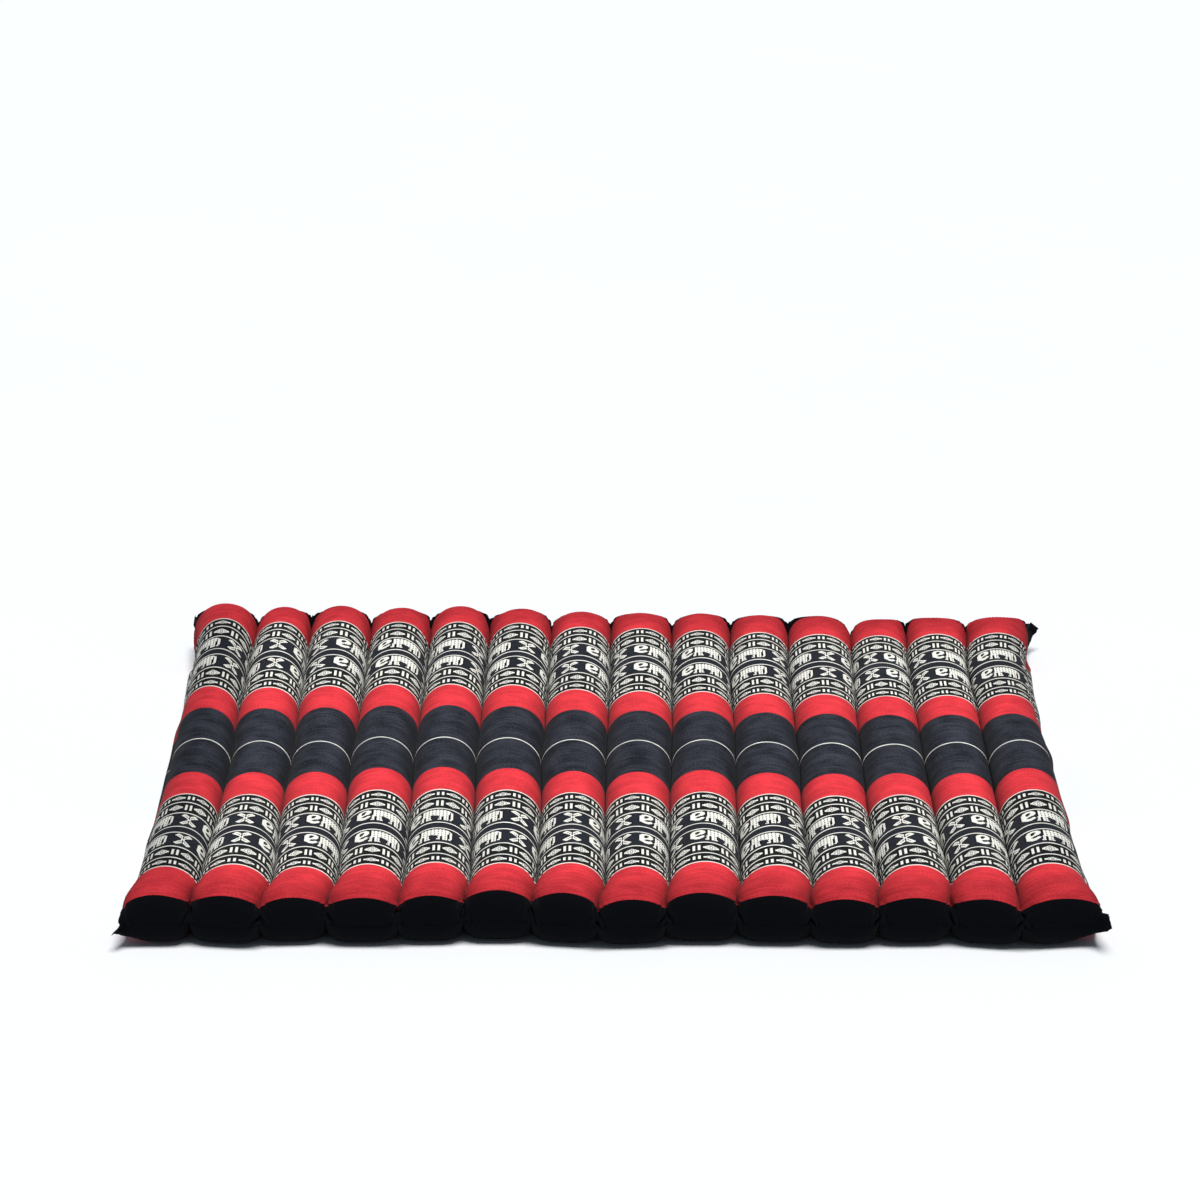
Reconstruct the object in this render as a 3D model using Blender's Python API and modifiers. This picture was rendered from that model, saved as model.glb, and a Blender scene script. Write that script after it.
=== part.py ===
"""Flat channel-stitched floor cushion: fourteen filled tubes sewn side by side.

The top cloth and the bottom cloth are sewn together along thirteen straight
lines that run from front to back, and round the edge.  Each channel between
two of these lines is filled, so it swells into a tube with a high crown, a
deep groove on either side and a rounded nose at each end.  The cushion is one
filled solid that lies on the undersides of its tubes.

Metres, +Z up.  X runs across the tubes, -Y is the front end of the tubes, and
the origin is at the middle of the footprint, on the floor.
"""

import bmesh
import bpy

OBJECT_NAME = "channel_zabuton"

# Across the tubes, left to right.  Crown heights are above the floor at the
# front, middle and back of the tube; noses are how far each end reaches.
WIDTH, FRONT_CROWN, MIDDLE_CROWN, BACK_CROWN, FRONT_NOSE, BACK_NOSE = range(6)
TUBES = (
    # width, front crown, middle crown, back crown, front nose, back nose
    (0.0495, 0.046, 0.045, 0.054, 0.344, 0.345),
    (0.0505, 0.048, 0.043, 0.051, 0.346, 0.342),
    (0.0520, 0.045, 0.044, 0.052, 0.342, 0.344),
    (0.0525, 0.045, 0.046, 0.051, 0.344, 0.343),
    (0.0530, 0.046, 0.046, 0.051, 0.341, 0.344),
    (0.0555, 0.047, 0.046, 0.049, 0.338, 0.343),
    (0.0520, 0.046, 0.045, 0.047, 0.344, 0.340),
    (0.0545, 0.044, 0.045, 0.046, 0.347, 0.341),
    (0.0550, 0.048, 0.045, 0.045, 0.341, 0.342),
    (0.0515, 0.047, 0.043, 0.044, 0.343, 0.341),
    (0.0550, 0.046, 0.043, 0.043, 0.346, 0.340),
    (0.0510, 0.048, 0.043, 0.041, 0.343, 0.338),
    (0.0535, 0.046, 0.044, 0.042, 0.346, 0.340),
    (0.0570, 0.046, 0.045, 0.042, 0.345, 0.341),
)

SEAM_HEIGHT = 0.022        # sewn lines and side edges above the floor
WEB = 0.003                # thickness of the two cloths where they are sewn
LINE_DRAW = 0.007          # how far a sewn line pulls the end edge back
EDGE_DRAW = 0.004          # how far a corner is pulled back, before its ear

# Points across one tube between its sewn lines, as shares of its width and of
# its height above and below the seam.
ACROSS = (
    # place, top rise, bottom drop
    (0.17, 0.86, 1.00),
    (0.50, 1.13, 1.00),
    (0.83, 0.86, 1.00),
)

# Rows along one tube, from an end to the middle: how far the row lies from
# the nose, and the share of the full height it has on top and underneath.
END_ROWS = (
    # from nose, top share, bottom share
    (0.001, 0.82, 0.72),
    (0.020, 0.99, 1.00),
    (0.070, 1.00, 1.00),
)
BODY_ROWS = (-0.14, 0.0, 0.14)      # further rows, from the middle

# The cloth at each corner is turned in, and stands out as a small ear.
EARS = (
    # side, end, out along X, out along Y, height
    (-1, -1, 0.012, 0.012, 0.020),
    (1, -1, 0.014, 0.010, 0.020),
    (-1, 1, 0.010, 0.008, 0.030),
    (1, 1, 0.014, 0.010, 0.028),
)
EAR_CREASE = 0.8
EDGE_CREASE = "crease_edge"         # the mesh's own names for its creases
VERTEX_CREASE = "crease_vert"

SMOOTHING = 1              # levels of subdivision on the cage

COLOUR = (0.42, 0.03, 0.035, 1.0)
ROUGHNESS = 0.85


def groove_places():
    """X of every sewn line, with the two side edges first and last."""
    total = sum(tube[WIDTH] for tube in TUBES)
    places = [-total / 2]
    for tube in TUBES:
        places.append(places[-1] + tube[WIDTH])
    return places


def crown_height(tube, y):
    """Height of a tube's crown at y, easing between its three heights."""
    if y < 0:
        far, reach = tube[FRONT_CROWN], tube[FRONT_NOSE]
    else:
        far, reach = tube[BACK_CROWN], tube[BACK_NOSE]
    share = min(abs(y) / reach, 1.0)
    ease = share * share * (3 - 2 * share)
    return tube[MIDDLE_CROWN] + (far - tube[MIDDLE_CROWN]) * ease


def tube_rows(tube):
    """Rows of one tube from front to back: y, top share and bottom share."""
    front = [(-tube[FRONT_NOSE] + away, top, under) for away, top, under in END_ROWS]
    body = [(y, 1.0, 1.0) for y in BODY_ROWS]
    back = [(tube[BACK_NOSE] - away, top, under) for away, top, under in reversed(END_ROWS)]
    return front + body + back


def line_rows(index):
    """Y of the rows along a sewn line: the mean of the tubes beside it."""
    beside = [TUBES[i] for i in (index - 1, index) if 0 <= i < len(TUBES)]
    rows = [tube_rows(tube) for tube in beside]
    return [sum(row[0] for row in same) / len(same) for same in zip(*rows)]


def tube_column(tube, x, rise, drop):
    """Rows of cage points along a tube: x, y, top z and bottom z."""
    column = [(x, -tube[FRONT_NOSE], SEAM_HEIGHT + WEB / 2, SEAM_HEIGHT - WEB / 2)]
    for y, top, under in tube_rows(tube):
        height = crown_height(tube, y) - SEAM_HEIGHT
        top_z = SEAM_HEIGHT + height * rise * top
        column.append((x, y, top_z, SEAM_HEIGHT * (1 - drop * under)))
    column.append((x, tube[BACK_NOSE], SEAM_HEIGHT + WEB / 2, SEAM_HEIGHT - WEB / 2))
    return column


def line_column(index, x):
    """Rows of cage points along a sewn line or a side edge."""
    beside = [TUBES[i] for i in (index - 1, index) if 0 <= i < len(TUBES)]
    draw = LINE_DRAW if len(beside) == 2 else EDGE_DRAW
    front = draw - sum(tube[FRONT_NOSE] for tube in beside) / len(beside)
    back = sum(tube[BACK_NOSE] for tube in beside) / len(beside) - draw
    rows = [front] + line_rows(index) + [back]
    return [(x, y, SEAM_HEIGHT + WEB / 2, SEAM_HEIGHT - WEB / 2) for y in rows]


def cage_columns():
    """Columns of cage points from side to side, each from front to back."""
    places = groove_places()
    columns = []
    for index, tube in enumerate(TUBES):
        columns.append(line_column(index, places[index]))
        for place, rise, drop in ACROSS:
            x = places[index] + place * tube[WIDTH]
            columns.append(tube_column(tube, x, rise, drop))
    columns.append(line_column(len(TUBES), places[-1]))
    return columns


def stretch_ears(tops, bottoms):
    """Pull the cloth at the four corners out into ears; return their points."""
    corners = []
    for side, end, out_x, out_y, height in EARS:
        column = 0 if side < 0 else -1
        row = 0 if end < 0 else -1
        for layer, rise in ((tops, WEB / 2), (bottoms, -WEB / 2)):
            corner = layer[column][row]
            corner.co.x += side * out_x
            corner.co.y += end * out_y
            corner.co.z = height + rise
            corners.append(corner)
    return corners


def rim_pairs(tops, bottoms):
    """The top and bottom points of the edge, once round the cushion."""
    layers = []
    for layer in (tops, bottoms):
        front = [column[0] for column in layer]
        back = [column[-1] for column in reversed(layer)]
        layers.append(front + layer[-1][1:-1] + back + layer[0][-2:0:-1])
    return list(zip(*layers))


def build_cage(mesh):
    """Fill mesh with the closed cage of the cushion."""
    cage = bmesh.new()
    cage.edges.layers.float.new(EDGE_CREASE)
    cage.verts.layers.float.new(VERTEX_CREASE)
    tops = []
    bottoms = []
    for column in cage_columns():
        tops.append([cage.verts.new((x, y, top)) for x, y, top, _ in column])
        bottoms.append([cage.verts.new((x, y, under)) for x, y, _, under in column])
    for layer in (tops, bottoms):
        for left, right in zip(layer, layer[1:]):
            for row in range(len(left) - 1):
                cage.faces.new((left[row], right[row], right[row + 1], left[row + 1]))
    rim = rim_pairs(tops, bottoms)
    for (top, under), (next_top, next_under) in zip(rim, rim[1:] + rim[:1]):
        cage.faces.new((top, under, next_under, next_top))
    crease_cage(cage, tops, bottoms, stretch_ears(tops, bottoms))
    bmesh.ops.recalc_face_normals(cage, faces=cage.faces)
    cage.to_mesh(mesh)
    cage.free()


def crease_cage(cage, tops, bottoms, corners):
    """Keep the sewn lines and the ears sharp when the cage is smoothed."""
    edge_crease = cage.edges.layers.float[EDGE_CREASE]
    vertex_crease = cage.verts.layers.float[VERTEX_CREASE]
    for corner in corners:
        corner[vertex_crease] = EAR_CREASE
    step = len(ACROSS) + 1
    for layer in (tops, bottoms):
        for column in layer[step:-1:step]:
            for near, far in zip(column, column[1:]):
                cage.edges.get((near, far))[edge_crease] = 1.0


def cloth_material():
    """Plain cotton in the cushion's main colour."""
    material = bpy.data.materials.new("cotton")
    material.use_nodes = True
    shader = material.node_tree.nodes["Principled BSDF"]
    shader.inputs["Base Color"].default_value = COLOUR
    shader.inputs["Roughness"].default_value = ROUGHNESS
    shader.inputs["Metallic"].default_value = 0.0
    return material


def make_cushion(collection):
    """The filled cushion, as one smoothed solid."""
    mesh = bpy.data.meshes.new("cushion")
    build_cage(mesh)
    cushion = bpy.data.objects.new("cushion", mesh)
    collection.objects.link(cushion)
    mesh.materials.append(cloth_material())
    mesh.shade_smooth()
    smooth = cushion.modifiers.new("Smooth", "SUBSURF")
    smooth.levels = SMOOTHING
    smooth.render_levels = SMOOTHING
    smooth.use_limit_surface = False
    return cushion


def centre_on_floor(cushion):
    """Place the cushion so that its footprint is centred on the origin."""
    bpy.context.view_layer.update()
    shape = cushion.evaluated_get(bpy.context.evaluated_depsgraph_get())
    points = [vertex.co.copy() for vertex in shape.to_mesh().vertices]
    shape.to_mesh_clear()
    for axis in (0, 1):
        low = min(point[axis] for point in points)
        high = max(point[axis] for point in points)
        cushion.location[axis] = -(low + high) / 2


def main():
    for thing in list(bpy.data.objects):
        bpy.data.objects.remove(thing, do_unlink=True)
    collection = bpy.data.collections.new(OBJECT_NAME)
    bpy.context.scene.collection.children.link(collection)
    cushion = make_cushion(collection)
    centre_on_floor(cushion)


main()
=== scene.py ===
"""Channel-stitched zabuton floor cushion: cloth, woven bands and studio stage.

Fourteen filled channels lie side by side.  Each is a closed padded piece whose
top cloth swells from one sewn line to the next and whose under cloth lies flat
on the floor.  Metres, +Z up; -Y is the front end of the channels.
"""

import math

import bpy
import numpy as np
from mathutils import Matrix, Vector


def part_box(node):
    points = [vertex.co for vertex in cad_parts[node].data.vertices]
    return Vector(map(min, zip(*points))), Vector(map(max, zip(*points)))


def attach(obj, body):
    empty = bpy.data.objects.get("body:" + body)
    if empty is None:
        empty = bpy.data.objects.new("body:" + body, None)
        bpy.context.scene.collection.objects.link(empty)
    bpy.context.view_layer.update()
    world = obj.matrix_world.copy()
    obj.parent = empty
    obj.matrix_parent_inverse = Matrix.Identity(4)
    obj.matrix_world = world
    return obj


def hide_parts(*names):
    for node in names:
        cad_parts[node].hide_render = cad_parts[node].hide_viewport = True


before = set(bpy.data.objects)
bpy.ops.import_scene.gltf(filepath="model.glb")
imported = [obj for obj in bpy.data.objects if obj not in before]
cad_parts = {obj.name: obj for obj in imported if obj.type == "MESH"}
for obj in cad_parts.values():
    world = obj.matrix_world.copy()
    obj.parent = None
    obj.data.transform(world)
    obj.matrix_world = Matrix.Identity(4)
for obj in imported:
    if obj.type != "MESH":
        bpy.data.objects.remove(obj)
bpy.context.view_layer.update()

bl_info = {
    "name": "Channel-stitched zabuton",
    "version": (1, 0, 0),
    "blender": (4, 5, 0),
    "location": "3D View > Sidebar > Zabuton",
    "description": "Builds a channel-stitched floor cushion with woven elephant bands",
    "category": "Add Mesh",
}

LOW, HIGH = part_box("cushion")
BODY = "root"

# ------------------------ the shape

# Channels from left to right: crowns above the floor at the CROWN_PLACES; how far
# each end reaches from the middle; how far the front end is turned, left side
# forward; how far the dark end stripe reaches under the closing seam; and how many
# millimetres the woven figures lie right of their even places, front and back.
WIDTH, CROWNS, FRONT_NOSE, BACK_NOSE, SKEW, UNDER_BLACK, FRONT_SHIFT, BACK_SHIFT = range(8)
CROWN_PLACES = (-0.282, -0.100, 0.000, 0.100, 0.282)
CHANNELS = (
    (0.0495, (0.0450, 0.0430, 0.0450, 0.0470, 0.0540), 0.344, 0.345, 0.000, 0.028, -2.2, 3.4),
    (0.0505, (0.0470, 0.0430, 0.0440, 0.0455, 0.0510), 0.346, 0.342, -0.004, 0.044, 4.2, 4.6),
    (0.0520, (0.0435, 0.0433, 0.0435, 0.0470, 0.0520), 0.342, 0.344, 0.002, 0.045, 0, 3),
    (0.0525, (0.0455, 0.0453, 0.0460, 0.0475, 0.0505), 0.344, 0.343, 0.000, 0.045, 1.2, -0.3),
    (0.0530, (0.0460, 0.0460, 0.0460, 0.0475, 0.0510), 0.341, 0.344, 0.001, 0.044, 1.2, -2.8),
    (0.0555, (0.0465, 0.0460, 0.0460, 0.0465, 0.0495), 0.338, 0.343, 0.000, 0.036, 0.8, -2.4),
    (0.0520, (0.0460, 0.0455, 0.0450, 0.0460, 0.0470), 0.344, 0.340, -0.004, 0.045, 3.2, -5),
    (0.0545, (0.0450, 0.0445, 0.0450, 0.0455, 0.0460), 0.347, 0.341, 0.002, 0.045, 3.8, -3.6),
    (0.0550, (0.0465, 0.0445, 0.0445, 0.0445, 0.0450), 0.341, 0.342, 0.000, 0.045, 4.3, -3.4),
    (0.0515, (0.0465, 0.0430, 0.0430, 0.0430, 0.0440), 0.343, 0.341, -0.001, 0.045, -3.8, -4.8),
    (0.0550, (0.0460, 0.0425, 0.0430, 0.0430, 0.0430), 0.346, 0.340, 0.000, 0.045, -1.6, -6),
    (0.0510, (0.0475, 0.0430, 0.0420, 0.0410, 0.0410), 0.343, 0.338, 0.001, 0.045, -2.4, -8.5),
    (0.0535, (0.0465, 0.0430, 0.0430, 0.0410, 0.0420), 0.346, 0.340, -0.005, 0.044, 0.2, -4.4),
    (0.0570, (0.0470, 0.0475, 0.0450, 0.0410, 0.0420), 0.345, 0.341, 0.005, 0.040, 0.8, -5.2),
)

# Sewn lines from left to right, in millimetres: how far each runs right of its
# straight course at the LINE_PLACES, how far its ends are drawn in, how full the
# gathered cloth beside its back end is, up to 10, and how far that lifts the line.
LINE_PLACES = (-0.325, -0.280, -0.100, 0.000, 0.100, 0.240, 0.335)
COURSE, FRONT_DRAW, BACK_DRAW, LEFT_GATHER, RIGHT_GATHER, BACK_RISE = range(6)
SEWN_LINES = (
    ((-5.5, -0.9, 2.7, 3.0, 2.3, 2.5, -4.0), 12, 8, 0, 10, 0),
    ((-4.0, -0.8, 2.2, 3.3, 1.0, 1.5, 3.5), 26, 20, 5, 2, 10.6),
    ((0.0, 5.2, 2.5, 3.3, 2.0, 0.7, 1.0), 15, 16, 11, 4, 19),
    ((-1.0, 3.7, 2.4, 0.8, 2.2, 2.8, 2.9), 24, 22, 5, 3, 13.3),
    ((2.0, 3.2, 2.7, 0.8, 2.0, 3.2, 3.9), 17, 18, 7, 4, 14),
    ((-1.0, 2.4, 1.5, 0.0, 1.5, 2.9, 3.9), 28, 20, 10, 4, 17),
    ((-4.0, -0.9, 0.5, -1.2, 0.8, 2.6, 3.9), 24, 23, 6, 3, 8.7),
    ((-5.0, 0.8, 0.4, 0.8, 2.5, 4.2, 4.9), 12, 17, 5, 10, 6.5),
    ((-7.0, -3.8, -1.4, 1.2, 2.8, 4.2, 4.9), 16, 20, 9, 3, 6.6),
    ((-7.0, -2.6, -2.2, -0.4, 0.4, -0.4, 2.5), 25, 18, 8, 4, 7.6),
    ((-2.0, 1.7, -0.2, 1.6, 0.8, 0.7, 2.6), 20, 21, 9, 9, 10.2),
    ((-5.0, -0.4, -2.0, -1.2, -0.4, 1.7, 3.5), 21, 28, 4, 3, -4),
    ((0.0, 3.5, 0.8, -0.4, 0.2, 0.0, 2.5), 24, 22, 11, 10, 10),
    ((0.0, 0.0, -0.8, -0.4, -0.4, -1.4, 3.0), 12, 19, 6, 3, 5),
    ((4.0, -1.3, -3.8, -4.5, -7.5, -6.5, 1.0), 8, 10, 9, 0, 0),
)
DRAW_FROM = 0.18  # the drawing-in starts this far from the middle
DRAW_POWER = 2.75

# How many millimetres each channel's stripes lie behind their even places, at the
# SLIP_PLACES along its cloth.
SLIP_PLACES = (-0.337, -0.282, -0.122, 0.000, 0.122, 0.282)
STRIPE_SLIPS = (
    (-1, -5, -1, 0, -1, -4),
    (-2, -3, -1, -2, 2, 1),
    (-4, -4, -3, 0, 1, -1),
    (-4, -2, 3, 1, 4, 3),
    (-3, 0, 3, 3, 4, -1),
    (1, -5, -1, 1, 6, 2),
    (1, 2, -4, -2, -2, 3),
    (-4, -2, -2, -2, -3, 3),
    (0, 1, 0, 0, -2, 0),
    (-2, -5, 0, -1, -1, 0),
    (-4, -3, -2, -3, -4, -3),
    (-4, -7, -2, -2, 0, 3),
    (-4, -5, -2, -2, 0, 3),
    (-4, 0, -1, 0, 2, 5),
)

# Turned-in cloth that stands out at the corners: how far the tip of each cloth is
# pulled, and how much cloth goes with it.
EARS = (
    # channel, side, end, pull of the top cloth, of the under cloth, reach across, along
    (0, -1, -1, (-0.0020, -0.0010, -0.0020), (-0.0070, -0.0015, -0.0050), 0.010, 0.014),
    (13, 1, -1, (0.0055, -0.0020, 0.0100), (0.0070, -0.0010, 0.0020), 0.011, 0.018),
    (0, -1, 1, (-0.0015, 0.0000, 0.0125), (-0.0035, 0.0000, 0.0080), 0.013, 0.014),
    (13, 1, 1, (0.0060, 0.0000, 0.0065), (0.0130, 0.0010, 0.0010), 0.009, 0.014),
)
EAR_POINT = 1.4  # 1 draws a sharp point, 2 a round one
EAR_CRUMPLE = 0.0014  # unevenness of that cloth, over about EAR_FOLD
EAR_FOLD = 0.004

TOP_SEAM = 0.0210  # the sewn lines, on the top cloth
UNDER_SEAM = 0.0185  # and on the under cloth
UNDER_END_SEAM = 0.0060  # where the under cloth hangs full near the ends
UNDER_DROP = (0.25, 0.05)  # it drops from here on, over this much cloth
END_SEAM = 0.0200  # the closing seam round the ends
SEAM_GAP = 0.0003  # half the step between the two cloths there
SEAM_TUCK = 0.0006  # how far that seam is tucked in
SEAM_TUCK_OVER = 0.0030

GATHER_FULL = 10  # a gather that fills its channel's side quite out
GATHER_RISE = (0.332, 0.010)  # gathers start from here on, over this much
GATHER_STOP = (0.354, 0.009)  # and stop from here on, over this much
FULL_POWER = 5.0  # the squarer swell that they give a channel's side
FULL_ROUND = 0.25
PULL_REACH = 0.012  # a gather of 1 pulls the end stripe 1 mm, this near to the line
PULL_START = (0.305, 0.020)

CLOTH_END = 0.363  # cloth from the middle to the closing seam, over the top
NOSE_DEPTH = 0.026  # how far a nose bulges past the start of its turn
NOSE_POWER = 2.6  # 2 is a quarter of an ellipse, more is squarer
# The rounding of each cloth across a channel: 2 is an ellipse and more is squarer,
# then 0.5 is an ellipse and less is squarer, along the body and at the ends.
TOP_SECTION = (2.0, 0.50, 0.37)
UNDER_SECTION = (2.4, 0.55, 0.30)
ROUND_FROM = 0.26
ROUND_OVER = 0.07
PLAN_POWER = 4.0  # the rounding of a nose seen from above
PLAN_ROUND = 0.55
UNDER_FULL = 1.04  # over 1, so that the underside is cut flat
SIDE_BULGE = 0.0085  # how far the under cloth stands out past a side seam
SIDE_BULGE_OVER = 0.020
SIDE_BULGE_STOP = (0.30, 0.03)
SIDE_UNEVEN = 0.3  # how much of it comes and goes
SIDE_UNEVEN_OVER = 0.05

CORNER_RISE = 0.016  # of the under cloth, clear of the floor at a front corner
CORNERS = (
    # channel, side, reach of the rise
    (0, -1, 0.027),
    (13, 1, 0.038),
)
CORNER_START = (0.30, 0.05)
CORNER_CURVE = 1.2  # 1 is a straight slope, more rises later

ACROSS_STEPS = 60  # over the top
UNDER_STEPS = ACROSS_STEPS // 2
BODY_STEPS = 172
END_STEPS = 64
FINE_FROM = 0.26  # rows lie closer together from here to the seam
TURN_SAMPLES = 400  # along the curve of a nose
PLACE_SAMPLES = 241  # and across the curve of a channel

# Kinds of unevenness in the cloth: each changes over this many metres and has its
# own seed.  CREASED, GATHERED and PLEATED begin with their mean.
LUMPS = (0.045, 11)
CREASE_BENDS = (0.030, 12)
CREASES = (0.0045, 13)
FOLDS = (0.012, 15)
PLEAT_BENDS = (0.020, 17)
TWISTS = (0.010, 19)
DRIFTS = (0.060, 20)
CREASED = (0.5, 0.05, 14)
GATHERED = (0.4, 0.009, 16)
PLEATED = (0.55, 0.05, 18)
SIDE_SEED = 21  # and the channel's index
EAR_SEED = 31  # and the axis
CELLS = 64  # random values in a row, before they repeat

# ------------------------ the cloth

MM = 0.001
REPEAT = 65.7 * MM  # one elephant and one blossom
CHANNEL_CLOTH = 1.2 * REPEAT  # cloth over one channel, line to line
# Where the stripes start, along the cloth from the middle of the cushion.
MIDDLE_BLACK = 0.0726
BAND_START = 0.1224
BAND_END = 0.2823
END_BLACK = 0.337
EPS = 1e-6  # less than any real distance on the cloth

# Charts of the figures: # is pale yarn, : a dark thread in it and . the ground.
ELEPHANT = """
....######....##.##.##.##.##.##.##......
..#########...#######################...
.###########..########################..
.####...####..#########################.
####....####..#######################.##
####....####..#######################.##
####...#####..#######################.##
####...####...#######################.##
####..#####...#######################.##
##########....######################..##
########......######################..##
######........######################..##
#####........########...############..##
####.....##..#######.......#########..##
#####...####.##..####.......########..##
###########..##..####.......##..####..##
.##########..##..####.......##..####..##
..########...##..####.......##..####..##
...######....##..####.......##..####..#.
....####.....##..####.......##..####.##.
............###..#####.....###..####.##.
............###..#####.....###..####....
""".split()
BLOSSOM_HALF = """
...##.......##...
..####.....####..
.######...######.
.###:###.###:###.
..###:##.##:###..
...###:#.#:###...
....##:#.#:##....
.....##:.:##.....
......##.##......
.......#:#.......
.......###.......
""".split()
BLOSSOM = BLOSSOM_HALF + BLOSSOM_HALF[::-1]
WIDE_HALF = """
........##...........###...###...
......##::##.........###...###...
....###:##:###.......###...###...
..###:##::##:###.....###...###...
####:##:##:##:####...###...###...
###:###:##:###:###...###...###...
""".split()
NARROW_HALF = """
.......####..........###...###...
....###::::###.......###...###...
####.##:##:##.####...###...###...
#####:##::##:#####...###...###...
""".split()
WIDE_BORDER = WIDE_HALF + WIDE_HALF[-2::-1]
NARROW_BORDER = NARROW_HALF + NARROW_HALF[-2::-1]


def ease(share):
    """0 to 1 with a soft start and a soft end."""
    share = np.clip(share, 0.0, 1.0)
    return share * share * (3.0 - 2.0 * share)


def ramp(value, start, over):
    """0 up to the start, then an eased rise to 1 over this much more."""
    return ease((value - start) / over)


def blend(start, end, share):
    return start + (end - start) * share


def unevenness(across, along, size, seed):
    """Smooth random values from -1 to 1 that change over about the given size."""
    table = np.random.default_rng(seed).uniform(-1.0, 1.0, (CELLS, CELLS))
    x, y = across / size, along / size
    column, row = np.floor(x).astype(int), np.floor(y).astype(int)
    right, up = ease(x - column), ease(y - row)
    after, over = (column + 1) % CELLS, (row + 1) % CELLS
    column, row = column % CELLS, row % CELLS
    near = blend(table[column, row], table[after, row], right)
    far = blend(table[column, over], table[after, over], right)
    return blend(near, far, up)


def patchy(across, along, mean, size, seed):
    """Uneven values about a mean, which reach 1 at most."""
    return mean + (1.0 - mean) * unevenness(across, along, size, seed)


def line_places():
    """X of every sewn line at the middle of the cushion, side edges included."""
    places = np.cumsum([0.0] + [channel[WIDTH] for channel in CHANNELS])
    return places + (LOW.x + HIGH.x - places[-1]) / 2


def row_places():
    """Cloth distances from the middle of every row along a channel."""
    body = np.linspace(-FINE_FROM, FINE_FROM, BODY_STEPS + 1)
    end = np.linspace(FINE_FROM, CLOTH_END, END_STEPS + 1)[1:]
    return np.concatenate([-end[::-1], body, end])


def eased_along(places, values, at):
    """Values given at a few places, easing from one place to the next."""
    places, values = np.array(places), np.array(values)
    after = np.clip(np.searchsorted(places, at), 1, len(places) - 1)
    share = ramp(at, places[after - 1], places[after] - places[after - 1])
    return blend(values[after - 1], values[after], share)


def length_along(first, second):
    """Length of a curve from its start to each of its points."""
    return np.concatenate([[0.0], np.cumsum(np.hypot(np.diff(first), np.diff(second)))])


def nose_turn(height):
    """A squarish quarter turn: arc length, forward reach and height left."""
    turn = np.linspace(0.0, math.pi / 2, TURN_SAMPLES)
    forward = NOSE_DEPTH * np.sin(turn) ** (2 / NOSE_POWER)
    left = height * np.cos(turn) ** (2 / NOSE_POWER)
    return length_along(forward, left), forward, left / height


def long_section(channel, rows, under):
    """Y and height share of a channel's middle line at every row."""
    y, share = np.empty_like(rows), np.ones_like(rows)
    for side, nose in ((-1, channel[FRONT_NOSE]), (1, channel[BACK_NOSE])):
        crown = channel[CROWNS][0 if side < 0 else -1]
        rise = END_SEAM if under else crown - END_SEAM
        length, forward, left = nose_turn(rise)
        flat = nose - NOSE_DEPTH
        whole = flat + length[-1]
        here = rows * side >= 0
        cloth = np.abs(rows[here]) / CLOTH_END * whole
        y[here] = side * np.where(cloth < flat, cloth, flat + np.interp(cloth - flat, length, forward))
        share[here] = np.where(cloth < flat, 1.0, np.interp(cloth - flat, length, left))
    return y, share


def back_gather(rows):
    """0 to 1 over the gathered cloth between the end stripe's edge and the seam."""
    return ramp(rows, *GATHER_RISE) * (1.0 - ramp(rows, *GATHER_STOP))


def gathers_beside(index, left):
    """How gathered a channel's cloth is, beside its left or its right sewn line."""
    return np.where(left, SEWN_LINES[index][RIGHT_GATHER], SEWN_LINES[index + 1][LEFT_GATHER])


def line_height(line, rows, under):
    """Z along a sewn line, on one of its two cloths."""
    far = np.abs(rows)
    closing = ramp(far, END_BLACK, CLOTH_END - END_BLACK)
    if under:
        return blend(blend(UNDER_SEAM, UNDER_END_SEAM, ramp(far, *UNDER_DROP)), END_SEAM, closing)
    return blend(TOP_SEAM, END_SEAM, closing) + MM * line[BACK_RISE] * back_gather(rows)


def line_points(index, rows, under):
    """Points along a sewn line on one of its two cloths, by cloth distance."""
    line = SEWN_LINES[index]
    far = np.abs(rows)
    draw = MM * np.where(rows < 0, line[FRONT_DRAW], line[BACK_DRAW])
    reach = np.clip((far - DRAW_FROM) / (END_BLACK - DRAW_FROM), 0.0, 1.0) ** DRAW_POWER
    x = line_places()[index] + MM * eased_along(LINE_PLACES, line[COURSE], rows)
    y = np.sign(rows) * (far - draw * reach)
    return np.stack([x, y, line_height(line, rows, under)], axis=1)


def swell(place, power, roundness):
    """1 on a channel's middle line and 0 on its sewn lines."""
    return np.clip(1.0 - np.abs(place) ** power, 0.0, 1.0) ** roundness


def even_places(half_width, rise, power, roundness, count):
    """Places across, -1 to 1, evenly spaced along the curved cloth."""
    place = np.sin(np.linspace(-math.pi / 2, math.pi / 2, PLACE_SAMPLES))
    length = length_along(place * half_width, rise * swell(place, power, roundness))
    return np.interp(np.linspace(0.0, length[-1], count), length, place)


def crown_line(channel, rows, under, lift):
    """Y and Z along a channel's middle line, on one of its two cloths."""
    y, share = long_section(channel, rows, under)
    if under:
        return y, END_SEAM * (1.0 - share)
    heights = eased_along(CROWN_PLACES, channel[CROWNS], y) + lift
    return y, END_SEAM + (heights - END_SEAM) * share


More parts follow.
